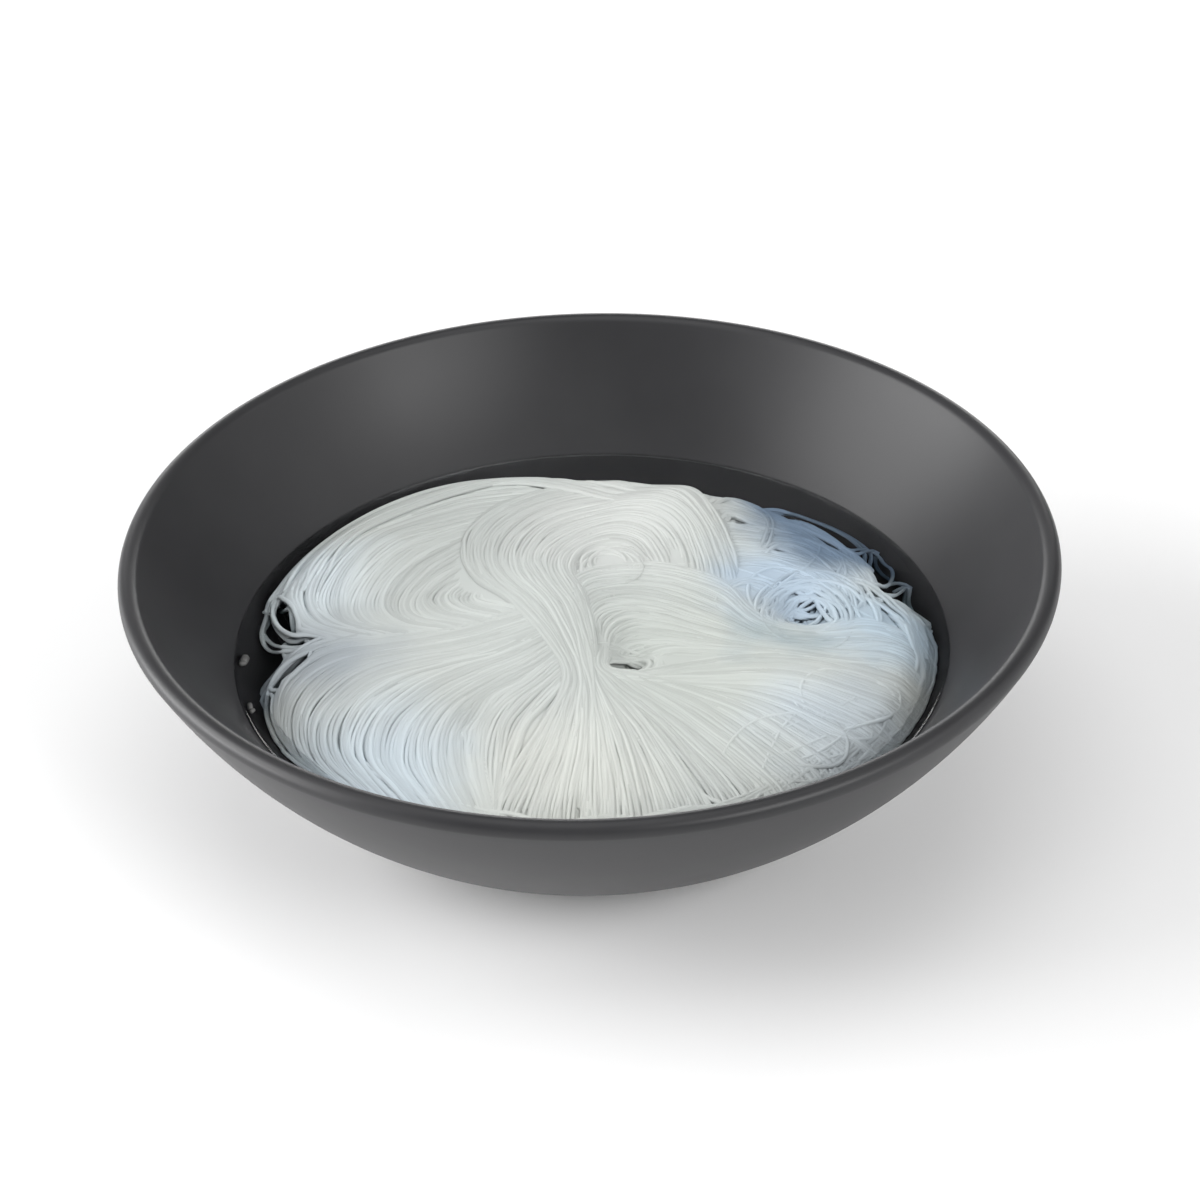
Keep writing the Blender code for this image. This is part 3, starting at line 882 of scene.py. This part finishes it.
def make_noodles():
    """All strands, from the lowest to the topmost.

    Each kind has a radius, and lies between lowest and highest from the heap's upper side, where highest is
    uneven. Strands dip at their ends, start under their neighbours and part round the gaps. All in mm.
    """
    draw = np.random.default_rng(RANDOM_SEED)
    pile = Pile()
    pieces = []

    def lay(name, paths, radius, lowest=-2.2, highest=0.1, uneven=0.12, dip=0.8, under=0.0, part=True):
        strands = []
        for path in paths:
            thick = radius * draw.uniform(*THICKNESSES) * MM
            level = highest + draw.uniform(-uneven, uneven)
            path = parted(path) if part else path
            line = pile.lay(path * MM, thick, lowest * MM, level * MM, dip * MM, under * MM)
            strands.append((inside_bowl(line, thick), thick, draw.uniform(0, 1)))
        pieces.append(strands_piece(name, strands))

    lay("noodles_deep", curls(draw, 90, in_outer_ring, 90, 0.07), 0.60, lowest=-5.0, highest=-1.4)
    lay("noodles_under", curls(draw, 60, in_upper_right, 90, 0.07), 0.58, lowest=-3.5, highest=-1.3)
    lay("noodles_left_back", flow(draw, 110, LEFT_BACK, locks=9), 0.60, under=1.2)
    lay("noodles_right_back", flow(draw, 100, RIGHT_BACK, stray=1.2, gather=0.7), 0.56, highest=-0.2)
    lay("noodles_upper_right", curls(draw, 14, in_upper_right, 90, 0.035), 0.56, highest=-0.1)
    lay("noodles_sweep", flow(draw, 130, SWEEP, locks=14), 0.62, under=0.8)
    lay("noodles_lower_right", flow(draw, 125, LOWER_RIGHT, locks=9, gather=0.25), 0.60)
    lay("noodles_crown_eye", arcs(draw, 28, CROWN_EYE, (0.8, 8), (0.3, 0.8), 1.2), 0.56)
    lay("noodles_crown", flow(draw, 100, CROWN, locks=7, gather=0.3), 0.56, highest=0.2, under=2.0)
    lay("noodles_centre_right", flow(draw, 100, CENTRE_RIGHT, locks=5, stray=0.6), 0.56)
    lay("noodles_right", flow(draw, 70, RIGHT, locks=4), 0.58)
    near_edge = flow(draw, 34, NEAR_EDGE, (0, 0.4), (0.6, 1), locks=3, stray=1.2)
    lay("noodles_near_edge", near_edge, 0.58, highest=-0.1)
    lay("noodles_lower_curls", curls(draw, 18, in_lower_right, 60, 0.06), 0.56, highest=0.15, under=1.0)
    right_edge = flow(draw, 24, RIGHT_EDGE, end=(0.55, 1.0), locks=3, stray=1.2)
    lay("noodles_right_edge", right_edge, 0.58, highest=0.1)
    lay("noodles_hole", arcs(draw, 24, HOLE, (4, 9), (0.3, 0.7)), 0.52, highest=-0.1)
    in_hole = arcs(draw, 7, HOLE, (1.5, 5), (0.2, 0.4))
    lay("noodles_in_hole", in_hole, 0.52, lowest=-6, highest=-2.8, part=False)
    lay("noodles_nest", arcs(draw, 46, NEST, (4, 12), (0.25, 0.75), 1.35), 0.56)
    lay("noodles_small_nest", arcs(draw, 20, SMALL_NEST, (3, 7), (0.3, 0.8)), 0.56)
    lay("noodles_right_loops", loops(draw, RIGHT_LOOPS, 2, 1.0), 0.54, part=False)
    left_loops = loops(draw, LEFT_LOOPS, 1, 0.4)
    lay("noodles_left_loops", left_loops, 0.54, highest=0.2, uneven=0.2, under=1.5, part=False)
    lay("noodles_far_left", loops(draw, FAR_LEFT_LOOPS, 7, 1.4), 0.58, highest=0.9, uneven=0.5, under=2.0)
    return pieces


# Materials

def new_material(name, roughness=0.5):
    """A new material, with its node tree and its shader."""
    made = bpy.data.materials.new(name)
    made.use_nodes = True
    shader = made.node_tree.nodes["Principled BSDF"]
    shader.inputs["Roughness"].default_value = roughness
    return made, made.node_tree, shader


def add_node(tree, kind, **settings):
    node = tree.nodes.new(kind)
    for key, value in settings.items():
        if key in node.inputs:
            node.inputs[key].default_value = value
        else:
            setattr(node, key, value)
    return node


def feed(tree, value, socket):
    """Links an output to a socket, or sets a plain value there."""
    if isinstance(value, bpy.types.NodeSocket):
        tree.links.new(value, socket)
    else:
        socket.default_value = value


def add_place(tree):
    """Places on the piece, in metres."""
    return add_node(tree, "ShaderNodeTexCoord").outputs["Object"]


def add_noise(tree, place, scale, detail=2):
    noise = add_node(tree, "ShaderNodeTexNoise", Scale=scale, Detail=detail)
    tree.links.new(place, noise.inputs["Vector"])
    return noise


def add_ramp(tree, value, colors, span=(0, 1)):
    """A colour that goes from the first to the second as the value goes through the span."""
    ramp = add_node(tree, "ShaderNodeValToRGB")
    for element, position, color in zip(ramp.color_ramp.elements, span, colors):
        element.position = position
        element.color = (*color, 1)
    tree.links.new(value, ramp.inputs["Fac"])
    return ramp.outputs["Color"]


def add_range(tree, value, source, target=(0, 1), kind="LINEAR"):
    """The value, taken from the source range to the target range."""
    moved = add_node(tree, "ShaderNodeMapRange", interpolation_type=kind)
    for socket, number in zip(("From Min", "From Max", "To Min", "To Max"), (*source, *target)):
        moved.inputs[socket].default_value = number
    tree.links.new(value, moved.inputs["Value"])
    return moved.outputs["Result"]


def add_mix(tree, share, first, second, kind="MIX"):
    """The first colour, with this share of the second laid over it."""
    mixed = add_node(tree, "ShaderNodeMix", data_type="RGBA", blend_type=kind)
    feed(tree, share, mixed.inputs["Factor"])
    feed(tree, first, mixed.inputs["A"])
    feed(tree, second, mixed.inputs["B"])
    return mixed.outputs["Result"]


def add_bump(tree, height, strength, distance):
    bump = add_node(tree, "ShaderNodeBump", Strength=strength, Distance=distance)
    tree.links.new(height, bump.inputs["Height"])
    return bump.outputs["Normal"]


def add_grey(tree, value):
    grey = add_node(tree, "ShaderNodeCombineColor")
    for channel in ("Red", "Green", "Blue"):
        tree.links.new(value, grey.inputs[channel])
    return grey.outputs["Color"]


def add_soft_normal(tree):
    """The surface's normal, leaning upward."""
    surface = add_node(tree, "ShaderNodeNewGeometry")
    soft = add_node(tree, "ShaderNodeVectorMath", operation="SCALE")
    soft.inputs["Scale"].default_value = 1 - NOODLE_SOFTNESS
    tree.links.new(surface.outputs["Normal"], soft.inputs[0])
    leaning = add_node(tree, "ShaderNodeVectorMath", operation="ADD")
    leaning.inputs[1].default_value = (0, 0, NOODLE_SOFTNESS)
    tree.links.new(soft.outputs["Vector"], leaning.inputs[0])
    normal = add_node(tree, "ShaderNodeVectorMath", operation="NORMALIZE")
    tree.links.new(leaning.outputs["Vector"], normal.inputs[0])
    return normal.outputs["Vector"]


def add_tints_and_shade(tree):
    """The noodles' colour: tints that fade into one another with uneven edges, some of them painted shade.
    """
    place = add_place(tree)
    uneven = add_node(tree, "ShaderNodeVectorMath", operation="MULTIPLY_ADD")
    uneven.inputs[1].default_value = (TINT_UNEVENNESS, TINT_UNEVENNESS, TINT_UNEVENNESS)
    tree.links.new(add_noise(tree, place, 70).outputs["Color"], uneven.inputs[0])
    tree.links.new(place, uneven.inputs[2])
    color = (*NOODLE_COLOR, 1)
    for center, (near, far), tint in TINTS_AND_PAINTED_SHADE:
        away = add_node(tree, "ShaderNodeVectorMath", operation="DISTANCE")
        away.inputs[1].default_value = Vector(center) * MM
        tree.links.new(uneven.outputs["Vector"], away.inputs[0])
        share = add_range(tree, away.outputs["Value"], (near * MM, far * MM), (1, 0), "SMOOTHSTEP")
        color = add_mix(tree, share, color, (*tint, 1))
    return color


def noodle_material():
    """Wet noodles: tinted, with painted shade in some tints, each strand with its own lightness, and
    painted darker as shade where they lie deep.
    """
    made, tree, shader = new_material("wet_noodle", 0.38)
    shader.inputs["IOR"].default_value = 1.34
    shade = add_node(tree, "ShaderNodeAttribute", attribute_name="shade")
    lightness = add_range(tree, shade.outputs["Fac"], (0, 1), STRAND_LIGHTNESS)
    color = add_mix(tree, 1.0, add_tints_and_shade(tree), add_grey(tree, lightness), "MULTIPLY")
    # Painted shade: darker where the noodles lie deep
    shade_depth = add_node(tree, "ShaderNodeAttribute", attribute_name="shade_depth")
    depth = add_range(tree, shade_depth.outputs["Fac"], PAINTED_SHADE_DEPTHS, kind="SMOOTHSTEP")
    color = add_mix(tree, depth, color, (*PAINTED_DEPTH_SHADE, 1), "MULTIPLY")
    tree.links.new(color, shader.inputs["Base Color"])
    tree.links.new(add_soft_normal(tree), shader.inputs["Normal"])
    return made


def starch_material():
    made, tree, shader = new_material("wet_starch")
    cloud = add_noise(tree, add_place(tree), 700)
    tree.links.new(add_ramp(tree, cloud.outputs["Fac"], STARCH_COLORS), shader.inputs["Base Color"])
    return made


def bowl_material():
    """A satin dark glaze with a faint cloud and a fine grain."""
    made, tree, shader = new_material("satin_charcoal")
    shader.inputs["IOR"].default_value = 1.37
    place = add_place(tree)
    cloud = add_noise(tree, place, 38, 5).outputs["Fac"]
    tree.links.new(add_ramp(tree, cloud, BOWL_COLORS, (0.3, 0.7)), shader.inputs["Base Color"])
    tree.links.new(add_range(tree, cloud, (0, 1), BOWL_ROUGHNESS), shader.inputs["Roughness"])
    grain = add_noise(tree, place, 1500, 3)
    tree.links.new(add_bump(tree, grain.outputs["Fac"], 0.06, 0.1 * MM), shader.inputs["Normal"])
    return made


def water_material():
    """Clear water with a hardly seen haze and a faint ripple."""
    made, tree, shader = new_material("clear_water", 0.0)
    shader.inputs["IOR"].default_value = 1.333
    shader.inputs["Transmission Weight"].default_value = 1.0
    place = add_place(tree)
    haze = add_noise(tree, place, 30, 3)
    tree.links.new(add_ramp(tree, haze.outputs["Fac"], WATER_COLORS), shader.inputs["Base Color"])
    ripple = add_noise(tree, place, 160, 1)
    tree.links.new(add_bump(tree, ripple.outputs["Fac"], 0.1, 0.2 * MM), shader.inputs["Normal"])
    return made


def floor_material():
    """A pale floor that is lit near the bowl, and glows as brightly further away."""
    made, tree, shader = new_material("pale_floor", 0.7)
    place = add_place(tree)
    mottle = add_noise(tree, place, 6, 4)
    tree.links.new(add_ramp(tree, mottle.outputs["Fac"], FLOOR_COLORS), shader.inputs["Base Color"])
    away = add_node(tree, "ShaderNodeVectorMath", operation="LENGTH")
    tree.links.new(place, away.inputs[0])
    glow = add_range(tree, away.outputs["Value"], FLOOR_GLOW, kind="SMOOTHSTEP")
    shader.inputs["Emission Color"].default_value = (1, 1, 1, 1)
    tree.links.new(glow, shader.inputs["Emission Strength"])
    return made


# The stage

def add_camera():
    data = bpy.data.cameras.new("Camera")
    data.lens = CAMERA_LENS
    data.sensor_width = 36
    camera = bpy.data.objects.new("Camera", data)
    bpy.context.scene.collection.objects.link(camera)
    back = Vector((0, -math.cos(CAMERA_ELEVATION), math.sin(CAMERA_ELEVATION)))
    turn = back.to_track_quat("Z", "Y").to_matrix() @ Matrix.Rotation(CAMERA_ROLL, 3, "Z")
    camera.matrix_world = Matrix.Translation(CAMERA_AIM + CAMERA_DISTANCE * back) @ turn.to_4x4()
    bpy.context.scene.camera = camera


def add_light(name, place, size, power):
    data = bpy.data.lights.new(name, "AREA")
    data.shape = "RECTANGLE"
    data.size, data.size_y = size
    data.energy = power
    light = bpy.data.objects.new(name, data)
    bpy.context.scene.collection.objects.link(light)
    place = Vector(place)
    light.location = place
    light.rotation_euler = (place - Vector(LIGHT_AIM)).to_track_quat("Z", "Y").to_euler()


def add_stage():
    half = FLOOR_SIZE / 2
    floor = smoothed_mesh(
        "floor", [(-half, -half, 0), (half, -half, 0), (half, half, 0), (-half, half, 0)], [(0, 1, 2, 3)]
    )
    floor.data.materials.append(floor_material())
    world = bpy.data.worlds.new("World")
    bpy.context.scene.world = world
    world.use_nodes = True
    background = world.node_tree.nodes["Background"]
    background.inputs["Color"].default_value = (*WORLD_COLOR, 1)
    background.inputs["Strength"].default_value = WORLD_STRENGTH
    for softbox in SOFTBOXES:
        add_light(*softbox)
    bpy.context.scene.view_settings.view_transform = "Standard"


def main():
    bowl = make_bowl()
    bowl.data.materials.append(bowl_material())
    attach(bowl, "root")
    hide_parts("bowl")

    water = make_water()
    water.data.materials.append(water_material())
    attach(water, "root")
    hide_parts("water")

    bits = make_bits()
    bits.data.materials.append(starch_material())
    heap = [make_core()] + make_noodles()
    noodle = noodle_material()
    for piece in heap:
        piece.data.materials.append(noodle)
    for piece in [bits] + heap:
        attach(piece, "root")
        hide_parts("noodles")

    add_stage()
    add_camera()


main()
